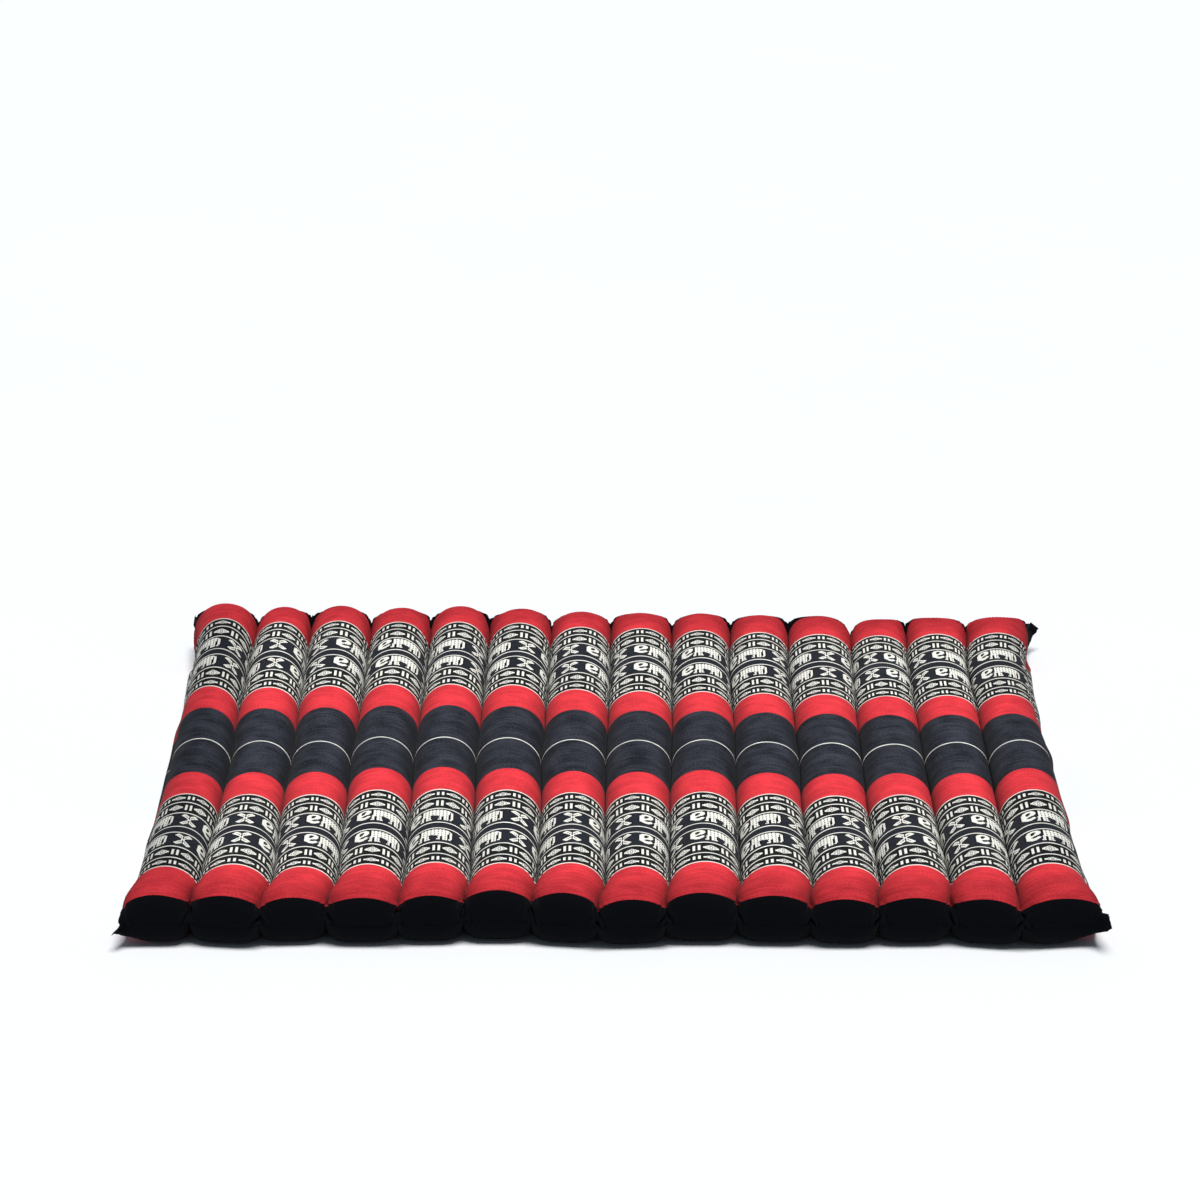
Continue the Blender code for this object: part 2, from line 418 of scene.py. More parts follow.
def cloth_grid(index, rows, under, lift):
    """Points of one cloth of a channel: rows along it, columns from left to right."""
    crown_y, crown_z = crown_line(CHANNELS[index], rows, under, lift)
    left, right = (line_points(line, rows, under) for line in (index, index + 1))
    count = (UNDER_STEPS if under else ACROSS_STEPS) + 1
    power, middle, end = UNDER_SECTION if under else TOP_SECTION
    roundness = blend(middle, end, ramp(np.abs(rows), ROUND_FROM, ROUND_OVER))
    points = np.empty((len(rows), count, 3))
    for row in range(len(rows)):
        half = (right[row, 0] - left[row, 0]) / 2
        rise = abs(crown_z[row] - (left[row, 2] + right[row, 2]) / 2)
        place = even_places(half, rise, power, roundness[row], count)
        high = swell(place, power, roundness[row])
        if under:
            high = np.minimum(high * UNDER_FULL, 1.0)
        else:
            gathered = back_gather(rows[row]) * gathers_beside(index, place < 0) / GATHER_FULL
            high = blend(high, swell(place, FULL_POWER, FULL_ROUND), gathered)
        points[row] = blend(left[row], right[row], (place[:, None] + 1) / 2)
        points[row, :, 1] = blend(points[row, :, 1], crown_y[row], swell(place, PLAN_POWER, PLAN_ROUND))
        points[row, :, 2] = blend(points[row, :, 2], crown_z[row], high)
    return points


def skew_front(index, points, rows):
    """Turns the front end of a channel a little, about its middle line."""
    front = ramp(-rows, ROUND_FROM, CLOTH_END - ROUND_FROM)
    slant = np.linspace(-1.0, 1.0, points.shape[1])
    points[:, :, 1] += CHANNELS[index][SKEW] * front[:, None] * slant * swell(slant, PLAN_POWER, 1.0)


def side_bulge(index, points, rows):
    """Swells the under cloth out past the seam at the left and right sides."""
    for channel, side in ((0, -1), (len(CHANNELS) - 1, 1)):
        if index == channel:
            share = np.linspace(0.0, 1.0, points.shape[1])[::-side]
            width = np.clip(share * CHANNELS[index][WIDTH] / SIDE_BULGE_OVER, 0.0, 1.0)
            uneven = 1.0 + SIDE_UNEVEN * unevenness(0.0 * rows, rows, SIDE_UNEVEN_OVER, SIDE_SEED + index)
            wave = side * SIDE_BULGE * uneven * (1.0 - ramp(np.abs(rows), *SIDE_BULGE_STOP))
            points[:, :, 0] += wave[:, None] * np.sin(math.pi * width)[None, :]


def raise_corners(index, points, rows):
    """Lifts the under cloth towards the two outer corners of the front."""
    front = ramp(-rows, *CORNER_START)[:, None]
    for channel, side, reach in CORNERS:
        if index == channel:
            edge = points[:, :1, 0] if side < 0 else points[:, -1:, 0]
            near = np.clip(1.0 - np.abs(points[:, :, 0] - edge) / reach, 0.0, 1.0)
            points[:, :, 2] = np.maximum(points[:, :, 2], CORNER_RISE * front * near ** CORNER_CURVE)


def stretch_ears(index, points, rows, under):
    """Pulls the turned-in cloth at the corners out into crumpled ears."""
    share = np.linspace(0.0, 1.0, points.shape[1])[None, :]
    for channel, side, end, *pulls, across, along in EARS:
        if index == channel:
            near = share[:, ::-side] * CHANNELS[index][WIDTH] / across
            far = (CLOTH_END - rows[:, None] * end) / along
            weight = np.exp(-np.hypot(near, far) ** EAR_POINT)
            points += weight[:, :, None] * np.array(pulls[under])
            for axis in range(3):
                slope = points[:, :, 0] + points[:, :, 1]
                fold = unevenness(slope, points[:, :, 2], EAR_FOLD, EAR_SEED + axis)
                points[:, :, axis] += EAR_CRUMPLE * weight * fold


def outward(points):
    """Unit normals of a grid of points, on the side that faces up or out."""
    along = np.gradient(points, axis=0)
    across = np.gradient(points, axis=1)
    normal = np.cross(across, along)
    return normal / np.maximum(np.linalg.norm(normal, axis=2, keepdims=True), EPS)


# Relief of the top cloth, in metres: the height of each kind of fold, its pitch, and
# where along the cloth it starts and stops.
LUMP_SIZE = 0.0006
CREASE_SIZE = 0.00030
CREASE_SQUEEZE = 0.25  # creases are four times as long across the channel
CREASE_BEND = 0.006
GATHER_SIZE, GATHER_PITCH = 0.00035, 0.0034
GATHER_START = (0.318, 0.030)
FOLD_SIZE = 0.0015
PLEAT_SIZE, PLEAT_PITCH = 0.0019, 0.0048
PLEAT_LEAN = 0.9  # pleats run down into the end of the groove
PLEAT_REACH = 0.014  # and die out this far from it
PLEAT_START = (0.265, 0.030)
PLEAT_STOP = (0.330, 0.012)
PLEAT_BEND = 0.35
PUCKER_SIZE, PUCKER_PITCH = 0.0022, 0.0075
PUCKER_REACH = 0.011
PUCKER_START = (0.333, 0.008)
BACK_PUCKER = 0.4  # the back's, as a share of the front's
TWIST = 0.5  # how far puckers wander, in puckers
HELD = 0.002  # the stitches hold the cloth still this near to them


def creases(across, along):
    """Height of the soft lumps and the fine creases over a filled channel."""
    lumps = LUMP_SIZE * unevenness(across, along, *LUMPS)
    bend = CREASE_BEND * unevenness(across, along, *CREASE_BENDS)
    fine = unevenness(across * CREASE_SQUEEZE, along + bend, *CREASES)
    return lumps + fine * (CREASE_SIZE * patchy(across, along, *CREASED))


def gathers(across, along):
    """Height of the gathers that run towards a closing seam."""
    ending = ramp(np.abs(along), *GATHER_START)
    fold = across + FOLD_SIZE * unevenness(across, along, *FOLDS)
    waves = GATHER_SIZE * ending * np.sin(math.tau * fold / GATHER_PITCH)
    return waves * patchy(across, along, *GATHERED)


def pleats(across, along, edge):
    """Height of the pleats beside the sewn lines, near the ends."""
    far = np.abs(along)
    window = ramp(far, *PLEAT_START) * (1.0 - ramp(far, *PLEAT_STOP))
    phase = (far + PLEAT_LEAN * edge) / PLEAT_PITCH
    phase += PLEAT_BEND * unevenness(across, along, *PLEAT_BENDS)
    waves = PLEAT_SIZE * window * np.exp(-((edge / PLEAT_REACH) ** 2)) * np.sin(math.tau * phase)
    return waves * patchy(across, along, *PLEATED)


def puckers(across, along, edge):
    """Height of the folds beside the end of a sewn line, where its thread pulls."""
    window = ramp(np.abs(along), *PUCKER_START)
    twist = TWIST * unevenness(across, along, *TWISTS)
    drift = TWIST * unevenness(across, along, *DRIFTS)
    size = np.where(along < 0, PUCKER_SIZE, BACK_PUCKER * PUCKER_SIZE)
    waves = np.sin(math.tau * (edge / PUCKER_PITCH + twist + drift))
    return size * window * np.exp(-((edge / PUCKER_REACH) ** 2)) * waves


def top_relief(index, rows, count):
    """Height of every fold over the top cloth of a channel."""
    share = np.linspace(0.0, 1.0, count)[None, :]
    across, along = np.broadcast_arrays((index + share) * CHANNEL_CLOTH, rows[:, None])
    edge = np.minimum(share, 1.0 - share) * CHANNEL_CLOTH
    free = np.sin(math.pi * share) ** 0.5 * (creases(across, along) + gathers(across, along))
    held = np.clip(edge / HELD, 0.0, 1.0)
    return free + held * (pleats(across, along, edge) + puckers(across, along, edge))


def tuck_seam(points, rows):
    """Draws the last rows in, so that the closing seam lies in a shallow valley."""
    far = np.abs(rows)
    tuck = SEAM_TUCK * ramp(far, CLOTH_END - SEAM_TUCK_OVER, SEAM_TUCK_OVER)
    points[:, :, 1] -= (np.sign(rows) * tuck)[:, None]


def channel_points(index, lift):
    """Ring of points at every row: over the top to the right, back underneath."""
    rows = row_places()
    top = cloth_grid(index, rows, under=False, lift=lift)
    skew_front(index, top, rows)
    top += outward(top) * top_relief(index, rows, top.shape[1])[:, :, None]
    under = cloth_grid(index, rows, under=True, lift=lift)
    skew_front(index, under, rows)
    side_bulge(index, under, rows)
    raise_corners(index, under, rows)
    tuck_seam(top, rows)
    tuck_seam(under, rows)
    end = np.abs(rows) > CLOTH_END - EPS
    top[end, :, 2] += SEAM_GAP
    under[end, :, 2] -= SEAM_GAP
    stretch_ears(index, top, rows, under=False)
    stretch_ears(index, under, rows, under=True)
    under[:, :, 2] = np.maximum(under[:, :, 2], 0.0)
    return rows, np.concatenate([top, under[:, ::-1]], axis=1)


def ring_faces(rows, ring):
    """Four-sided faces between rows, as (rows - 1, ring, 4) vertex numbers."""
    first = np.arange(rows - 1)[:, None] * ring
    here = np.arange(ring)[None, :]
    after = (here + 1) % ring
    return np.stack([first + here, first + after, first + ring + after, first + ring + here], axis=2)


def end_faces(rows, ring):
    """Five-sided faces that join the two cloths along each closing seam."""
    faces = []
    for start, turn in ((0, 1), ((rows - 1) * ring, -1)):
        for step in range(UNDER_STEPS):
            top = [start + 2 * step + more for more in (0, 1, 2)]
            under = [start + ring - step - 2, start + ring - step - 1]
            faces.append((top + under)[::-turn])
    return faces


def cloth_places(index, rows):
    """Where each point lies on the flat cloth, across and along, in metres."""
    top = np.linspace(0.0, 1.0, ACROSS_STEPS + 1)
    under = np.linspace(1.0, 0.0, UNDER_STEPS + 1)
    across = (index + np.concatenate([top, under])) * CHANNEL_CLOTH
    ends = [CHANNELS[index][end] * MM for end in (FRONT_SHIFT, BACK_SHIFT)]
    shift = np.interp(rows, (-BAND_START, BAND_START), ends)
    stretch = (END_BLACK + CHANNELS[index][UNDER_BLACK]) / CLOTH_END
    along = np.concatenate([np.ones_like(top), np.full_like(under, stretch)])
    slip = MM * eased_along(SLIP_PLACES, STRIPE_SLIPS[index], rows)
    places = np.empty((len(rows), len(across), 2))
    places[:, :, 0] = across[None, :] - shift[:, None]
    places[:, :, 1] = rows[:, None] * along - slip[:, None]
    places[:, :top.size, 1] += pulled_over(index, rows, top)
    return places


def side_places(count):
    """How far each point lies from its channel's middle line, 0 to 1, twice."""
    top = np.abs(np.linspace(-1.0, 1.0, ACROSS_STEPS + 1))
    under = np.abs(np.linspace(-1.0, 1.0, UNDER_STEPS + 1))
    return np.tile(np.concatenate([top, under])[None, :, None], (count, 1, 2))


def pulled_over(index, rows, share):
    """How far the gathers pull the cloth of the back end forward, beside the lines."""
    edge = np.minimum(share, 1.0 - share) * CHANNEL_CLOTH
    pull = MM * gathers_beside(index, share < 0.5) * np.exp(-((edge / PULL_REACH) ** 2))
    return ramp(rows[:, None], *PULL_START) * pull[None, :]


TOP_SHARE = 0.55  # of the flattened ring that the top cloth takes
STRIP = 0.012  # and each sewn edge between the two cloths
MARGIN = 0.01


def flat_layout(rows, ring):
    """Places of every face corner when the piece is laid out flat, in order of faces."""
    top = np.linspace(0.0, TOP_SHARE, ACROSS_STEPS + 1)
    under = np.linspace(TOP_SHARE + STRIP, 1.0 - STRIP, UNDER_STEPS + 1)
    across = np.concatenate([top, under, [1.0]])
    offset = np.where(rows[:-1] < -EPS, MARGIN, 0.5 + MARGIN)
    x = offset[:, None] + (0.5 - 2 * MARGIN) * across[None, :]
    y = MARGIN + np.abs(rows)[:, None] / CLOTH_END * (1 - 4 * MARGIN)
    corners = np.empty((len(rows) - 1, ring, 4, 2))
    corners[:, :, 0, 0] = corners[:, :, 3, 0] = x[:, :-1]
    corners[:, :, 1, 0] = corners[:, :, 2, 0] = x[:, 1:]
    corners[:, :, 0, 1] = corners[:, :, 1, 1] = y[:-1]
    corners[:, :, 2, 1] = corners[:, :, 3, 1] = y[1:]
    return corners.reshape(-1, 2)


def end_layout():
    """Places of the corners of the seam faces, in a strip past the others."""
    places = []
    wide = (0.5 - 2 * MARGIN) / UNDER_STEPS
    low, high = 1 - 2.5 * MARGIN, 1 - MARGIN
    for offset, turn in ((MARGIN, 1), (0.5 + MARGIN, -1)):
        for step in range(UNDER_STEPS):
            left = offset + step * wide
            top = [(left, low), (left + wide / 2, low), (left + wide, low)]
            under = [(left + wide, high), (left, high)]
            places += (top + under)[::-turn]
    return places


def add_layout(mesh, name, places):
    """Adds a layer of places, one for each corner of each face."""
    mesh.uv_layers.new(name=name).uv.foreach_set("vector", places.ravel())


def add_object(name, data):
    """Puts a new object for a mesh, light or camera into the scene."""
    made = bpy.data.objects.new(name, data)
    bpy.context.scene.collection.objects.link(made)
    return made


def make_channel(index, material, lift):
    """One filled channel as a closed mesh, with its place on the flat cloth."""
    rows, points = channel_points(index, lift)
    ring = points.shape[1]
    faces = ring_faces(len(rows), ring).reshape(-1, 4).tolist() + end_faces(len(rows), ring)
    name = f"channel_{index + 1:02d}"
    mesh = bpy.data.meshes.new(name)
    mesh.from_pydata(points.reshape(-1, 3).tolist(), [], faces)
    corner = np.empty(len(mesh.loops), dtype=np.int32)
    mesh.loops.foreach_get("vertex_index", corner)
    add_layout(mesh, "cloth", cloth_places(index, rows).reshape(-1, 2)[corner])
    add_layout(mesh, "side", side_places(len(rows)).reshape(-1, 2)[corner])
    add_layout(mesh, "OFBake", np.concatenate([flat_layout(rows, ring), np.array(end_layout())]))
    mesh.uv_layers["cloth"].active_render = True
    mesh.shade_smooth()
    mesh.materials.append(material)
    piece = add_object(name, mesh)
    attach(piece, BODY)
    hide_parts("cushion")


# ------------------------ materials

def operator(operation, swapped=False):
    """A method that adds the Math node of this operation."""
    def method(self, *others):
        return self.math(operation, *others, self) if swapped else self.math(operation, self, *others)
    return method


class Number:
    """A number in a shader; sums on it add Math nodes to its node tree."""

    def __init__(self, shader, socket):
        self.shader = shader
        self.socket = socket

    def math(self, operation, *values):
        sockets = dict(zip(("Value", "Value_001"), values))
        return self.shader.node("ShaderNodeMath", {"operation": operation}, sockets)

    def output(self, name):
        """Another output of the node that this number comes from."""
        return Number(self.shader, self.socket.node.outputs[name])

    __add__ = __radd__ = operator("ADD")
    __mul__ = __rmul__ = operator("MULTIPLY")
    __sub__ = operator("SUBTRACT")
    __rsub__ = operator("SUBTRACT", swapped=True)
    __truediv__ = operator("DIVIDE")
    __rpow__ = operator("POWER", swapped=True)
    __gt__ = operator("GREATER_THAN")
    __lt__ = operator("LESS_THAN")
    __mod__ = operator("FLOORED_MODULO")
    __abs__ = operator("ABSOLUTE")
    __floor__ = operator("FLOOR")


class Shader:
    """A material's node tree, filled by one method."""

    def __init__(self, name):
        self.material = bpy.data.materials.new(name)
        self.material.use_nodes = True
        self.tree = self.material.node_tree
        self.tree.nodes.clear()

    def node(self, kind, settings, sockets):
        """Adds a node: its settings first, then the values or links of its sockets."""
        made = self.tree.nodes.new(kind)
        for name, value in settings.items():
            if name == "stops":
                fill_ramp(made.color_ramp, value)
            else:
                setattr(made, name, value)
        inputs = {socket.identifier: socket for socket in made.inputs}
        for name, value in sockets.items():
            if isinstance(value, Number):
                self.tree.links.new(value.socket, inputs[name])
            else:
                inputs[name].default_value = value
        shown = [socket for socket in made.outputs if socket.enabled]
        return Number(self, shown[0]) if shown else None

    def mix(self, share, first, second):
        """A colour that goes from the first to the second as the share goes from 0 to 1."""
        sockets = {"Factor_Float": share, "A_Color": first, "B_Color": second}
        made = self.node("ShaderNodeMix", {"data_type": "RGBA"}, sockets)
        colour = [socket for socket in made.socket.node.outputs if socket.identifier == "Result_Color"]
        return Number(self, colour[0])

    def noise(self, place, size, detail=2.0):
        """Smooth random values of about 0.5 that change over about this size."""
        sockets = {"Vector": place, "Scale": 1.0 / size, "Detail": detail}
        return self.node("ShaderNodeTexNoise", {"noise_dimensions": "2D"}, sockets)

    def finished(self, finish):
        """The material, once its surface has this finish."""
        surface = self.node("ShaderNodeBsdfPrincipled", {}, finish)
        self.node("ShaderNodeOutputMaterial", {}, {"Surface": surface})
        return self.material


def fill_ramp(ramp, stops):
    """Sets a stepped ramp's stops from (place, colour) pairs."""
    ramp.interpolation = "CONSTANT"
    for place, colour in stops[2:]:
        ramp.elements.new(place)
    for element, (place, colour) in zip(ramp.elements, stops):
        element.position = place
        element.color = colour


def sine(value):
    return value.math("SINE", value)


def between(value, low, high):
    return (value > low) * (value < high)


def soft_step(value, low, high):
    """0 below low and 1 above high, with soft bends between."""
    sockets = {"Value": value, "From Min": low, "From Max": high}
    return value.shader.node("ShaderNodeMapRange", {"interpolation_type": "SMOOTHSTEP"}, sockets)


CHANNELS_OF_COLOUR = 3


def packed_row(text, marks, bits):
    """One chart row as a colour: each third of it is read as a binary fraction."""
    text = text.ljust(bits * CHANNELS_OF_COLOUR, ".")
    thirds = [text[start * bits:(start + 1) * bits] for start in range(CHANNELS_OF_COLOUR)]
    values = [sum((mark in marks) / 2 ** (i + 1) for i, mark in enumerate(third)) for third in thirds]
    return (*values, 1.0)


def outlined(chart):
    """The chart with one more cell all round, and an o in each cell beside a mark."""
    wide = len(chart[0]) + 2
    padded = ["." * wide] + ["." + text + "." for text in chart] + ["." * wide]
    rows = []
    for row, text in enumerate(padded):
        near = padded[max(row - 1, 0):row + 2]
        cells = [
            "o" if mark == "." and any(line[max(i - 1, 0):i + 2].strip(".") for line in near) else mark
            for i, mark in enumerate(text)
        ]
        rows.append("".join(cells))
    return rows


def chart_marks(shader, chart, marks, column, row):
    """1 where a chart holds one of the marks at this column and row."""
    columns, count = len(chart[0]), len(chart)
    bits = math.ceil(columns / CHANNELS_OF_COLOUR)
    stops = [(i / count, packed_row(text, marks, bits)) for i, text in enumerate(chart)]
    whole_column, whole_row = math.floor(column), math.floor(row)
    sockets = {"Fac": (whole_row + 0.5) / count}
    ramp = shader.node("ShaderNodeValToRGB", {"stops": stops}, sockets)
    split = shader.node("ShaderNodeSeparateColor", {}, {"Color": ramp})
    third = math.floor((whole_column + 0.5) / bits)
    value = split * (third < 0.5)
    value = value + split.output("Green") * between(third, 0.5, 1.5)
    value = value + split.output("Blue") * (third > 1.5)
    place = whole_column - third * bits
    mark = math.floor(value * 2 ** (place + 1)) % 2
    inside = between(whole_column, -0.5, columns - 0.5) * between(whole_row, -0.5, count - 0.5)
    return mark * inside


# Where the rows of a woven band end, from its own middle outwards, in millimetres.
GAP_HALF = 6.5
ELEPHANT_END = 37.0
WIDE_END = 60.0
NARROW_END = 79.8
BORDERS = (
    # chart, where its row starts and ends, millimetres for one row of the chart
    (WIDE_BORDER, ELEPHANT_END, WIDE_END, 1.00),
    (NARROW_BORDER, WIDE_END, NARROW_END, 0.98),
)
LINE_HALF = 0.9  # half a pale line between two rows
LINE_EDGE = 2.3  # the darkest ground beside it
FIRST_FIGURE = 0.2  # of a repeat, where the first lozenge and elephant lie
LOZENGE_MIDDLE = 9  # a lozenge's middle column in its chart
LOZENGE_SHIFT = 0.5
FIGURE_CELL = 0.955  # millimetres across for one column of the figures' charts
FIGURE_ROW = 0.995  # and along for one of their rows
FIGURE_RISE = 1.3  # how far a figure stands behind the middle of its row
FIGURE_SHIFT = 4.0  # from the middle of a lozenge to the middle of an elephant
RIBBED = (14.5, 37.5)  # columns of an elephant's body, which has ribs
RIB = math.tau / 3.0  # a rib every three columns
RIB_SINE = -0.5  # wherever its sine is less than this
RIB_DASH = math.tau / 4.4
RIB_DASH_SINE = 0.6  # ribs are broken where this sine is more
RIB_WAVE = math.tau / 5.0
RIB_SWAY = 0.3
RIB_STRENGTH = 0.8


def band_lines(out):
    """Pale lines of the woven band, and the dark edging beside them."""
    half_band = (BAND_END - BAND_START) / 2 / MM
    lines, edging = 0.0, 0.0
    for place in (GAP_HALF, ELEPHANT_END, WIDE_END, half_band - LINE_HALF):
        away = abs(out - place)
        lines = (away < LINE_HALF) + lines
        edging = (away < LINE_EDGE) + edging
    return lines, edging


def body_ribs(column, down):
    """1 on the broken, swaying ribs of an elephant's body."""
    sway = sine(down * RIB_WAVE) * RIB_SWAY
    ribs = (sine((column + sway) * RIB) < RIB_SINE) * (sine(down * RIB_DASH) < RIB_DASH_SINE)
    return ribs * between(column, *RIBBED)


def figures(shader, place):
    """Elephants and blossoms: area, inner lines and the dark cloth round them."""
    beast, bloom = outlined(ELEPHANT), outlined(BLOSSOM)
    repeat = REPEAT / MM
    side = place.from_band.math("SIGN", place.from_band)
    down = (GAP_HALF + ELEPHANT_END) / 2 * side - place.from_band + FIGURE_RISE
    middle = FIRST_FIGURE * repeat + FIGURE_SHIFT
    marks, lines, outline = 0.0, 0.0, 0.0
    for chart, chart_middle in ((beast, middle), (bloom, middle + repeat / 2)):
        row = down / FIGURE_ROW + len(chart) / 2
        start = chart_middle - FIGURE_CELL * len(chart[0]) / 2
        column = ((place.across - start) % repeat) / FIGURE_CELL
        here = chart_marks(shader, chart, "#:", column, row)
        thin = chart_marks(shader, chart, ":", column, row)
        if chart is beast:
            thin = thin + body_ribs(column, down) * here * RIB_STRENGTH
        marks = here + marks
        lines = thin + lines
        outline = chart_marks(shader, chart, "o", column, row) + outline
    here = between(place.out, GAP_HALF, ELEPHANT_END)
    return marks * here, lines * here, outline * here


def borders(shader, place):
    """The wide and the narrow row of lozenges and bars: area and inner lines."""
    period = REPEAT / MM / 3
    cell = period / len(WIDE_BORDER[0])
    start = FIRST_FIGURE * REPEAT / MM + LOZENGE_SHIFT - LOZENGE_MIDDLE * cell
    column = ((place.across - start) % period) / cell
    marks, lines = 0.0, 0.0
    for chart, low, high, height in BORDERS:
        row = (place.out - (low + high) / 2) / height + len(chart) / 2
        here = between(place.out, low, high)
        marks = chart_marks(shader, chart, "#:", column, row) * here + marks
        lines = chart_marks(shader, chart, ":", column, row) * here + lines
    return marks, lines


# Random looks of the yarn: the size of each kind in metres, and its share of
# the dye's lighter and deeper parts.
SPECKLE_SIZE, SPECKLE_SHARE = 0.0016, 0.35
STREAK_SIZE, STREAK_SHARE = 0.0030, 0.35
CLOUD_SIZE, CLOUD_SHARE, CLOUD_DETAIL = 0.020, 0.3, 3.0
STREAK = (0.12, 1.0, 1.0)  # squeezes a noise into streaks across the channels
LIGHTER = (0.36, 0.64)  # from the deepest dye to the lightest
MIDDLE_FLECKS = (0.60, 0.85)
GROUND_FLECKS = (0.45, 0.75)
FLECK_STRENGTH = 0.5

# Painted shade: how the cloth darkens between two places, 0 on a channel's middle
# line and 1 on its sewn lines, and by how much.  It paints the shade that falls on
# the flanks and in the grooves.
PLAIN_PAINTED_SHADE = ((0.15, 0.62, 0.42), (0.60, 0.90, 0.48))
# More painted shade on the black middle stripe, which also paints its sheen fading from the crown to the
# flanks.
MIDDLE_PAINTED_SHADE = ((0.25, 0.80, 0.50),)
WOVEN_PAINTED_SHADE = ((0.35, 0.85, 0.35),)
# Where the pale yarn turns to its shaded cream: painted shade with a painted warm reflection in the
# grooves.
CREAM_PAINTED_SHADE = (0.55, 0.90)
BLACK = (0.0, 0.0, 0.0, 1.0)

YARN = math.tau / 0.75  # a yarn and its gap in 0.75 millimetres
WEAVE_RELIEF, BAND_RELIEF, SPECKLE_RELIEF = 0.12, 0.5, 0.25
RELIEF_STRENGTH, RELIEF_HEIGHT = 0.6, 0.0003
ROUGHNESS, PALE_SMOOTHER = 0.82, 0.1
COTTON_SPECULAR = 0.04
SHEEN, SHEEN_ROUGHNESS = 0.02, 0.5


class ClothPlace:
    """Where a point lies on the flat cloth, in millimetres, and beside the sewn lines."""

    def __init__(self, shader):
        self.shader = shader
        self.flat = shader.node("ShaderNodeUVMap", {"uv_map": "cloth"}, {})
        self.side = shader.node("ShaderNodeUVMap", {"uv_map": "side"}, {})
        split = shader.node("ShaderNodeSeparateXYZ", {}, {"Vector": self.flat})
        self.across = split / MM
        self.along = split.output("Y") / MM
        self.far = abs(self.along)
        band_middle = (BAND_START + BAND_END) / 2 / MM
        self.from_band = self.along - self.along.math("SIGN", self.along) * band_middle
        self.out = abs(self.from_band)
        self.speckle = shader.noise(self.flat, SPECKLE_SIZE)

    def paint_groove_shade(self, colour, shades):
        """Paints shade on a colour: darker towards the sewn lines, where the grooves lie in shade."""
        dark = sum(soft_step(self.side, low, high) * amount for low, high, amount in shades)
        return self.shader.mix(dark, colour, BLACK)

    def add_flecks(self, reach, colour, fleck):
        return self.shader.mix(soft_step(self.speckle, *reach) * FLECK_STRENGTH, colour, fleck)

    def lighter_dye(self):
        """0 to 1 where the dye is lighter: clouds, streaks and speckles."""
        squeeze = {"Vector": self.flat, "Vector_001": STREAK}
        stretched = self.shader.node("ShaderNodeVectorMath", {"operation": "MULTIPLY"}, squeeze)
        streak = self.shader.noise(stretched, STREAK_SIZE)
        cloud = self.shader.noise(self.flat, CLOUD_SIZE, CLOUD_DETAIL)
        mixed = cloud * CLOUD_SHARE + streak * STREAK_SHARE + self.speckle * SPECKLE_SHARE
        return soft_step(mixed, *LIGHTER)


def plain_stripes(shader, colours, sizes, place, cream):
    """The middle stripe with its pale line, the red on both sides, and painted groove shade."""
    lighter = place.lighter_dye()
    middle = shader.mix(lighter, colours.middle_dark, colours.middle_light)
    middle = place.add_flecks(MIDDLE_FLECKS, middle, colours.middle_fleck)
    middle = place.paint_groove_shade(middle, MIDDLE_PAINTED_SHADE)
    red = shader.mix(lighter, colours.red_deep, colours.red)
    colour = shader.mix(place.far > sizes.middle_stripe / 2 / MM, middle, red)
    colour = place.paint_groove_shade(colour, PLAIN_PAINTED_SHADE)
    return shader.mix(place.far < sizes.middle_line / 2 / MM, colour, cream)


def woven_band(shader, colours, place, cream):
    """Colour of a woven band with painted groove shade, and 1 where its pale yarn lies over the ground.
    """
    lines, edging = band_lines(place.out)
    figure, figure_lines, outline = figures(shader, place)
    border, border_lines = borders(shader, place)
    pale = lines + figure + border
    ground = shader.mix(place.out < ELEPHANT_END, colours.border_ground, colours.elephant_ground)
    ground = place.add_flecks(GROUND_FLECKS, ground, colours.ground_fleck)
    ground = shader.mix(edging + outline, ground, colours.edging)
    thread = shader.mix(figure_lines + border_lines, cream, colours.thread_line)
    return place.paint_groove_shade(shader.mix(pale, ground, thread), WOVEN_PAINTED_SHADE), pale


def cloth_material(colours, sizes):
    """The cushion's cotton: plain stripes in three colours and two woven bands."""
    shader = Shader("cotton_cloth")
    place = ClothPlace(shader)
    # Pale yarn with painted shade and a painted warm reflection towards the grooves.
    cream = shader.mix(soft_step(place.side, *CREAM_PAINTED_SHADE), colours.cream, colours.cream_painted_shade)
    plain = plain_stripes(shader, colours, sizes, place, cream)
    woven, pale = woven_band(shader, colours, place, cream)
    in_band = between(place.far, BAND_START / MM, BAND_END / MM)
    colour = shader.mix(in_band, plain, woven)
    # End stripes in their black, which also holds painted shade for the ends.
    colour = shader.mix(place.far > sizes.end_stripe / MM, colour, colours.end_black_and_painted_shade)
    raised = pale * in_band
    weave = sine(place.across * YARN) * sine(place.along * YARN)
    height = weave * WEAVE_RELIEF + raised * BAND_RELIEF + place.speckle * SPECKLE_RELIEF
    relief = {"Strength": RELIEF_STRENGTH, "Distance": RELIEF_HEIGHT, "Height": height}
    finish = {
        "Base Color": colour,
        "Roughness": ROUGHNESS - raised * PALE_SMOOTHER,
        "Specular IOR Level": COTTON_SPECULAR,
        "Sheen Weight": SHEEN,
        "Sheen Roughness": SHEEN_ROUGHNESS,
        "Normal": shader.node("ShaderNodeBump", {}, relief),
    }
    return shader.finished(finish)


FLOOR_COLOUR = (0.93, 0.935, 0.94, 1.0)
FLOOR_DEEPER = 0.985  # clouds in the paper, as a share of its colour
FLOOR_CLOUD = 0.5
FLOOR_ROUGHNESS = 0.7
FLOOR_SPECULAR = 0.1


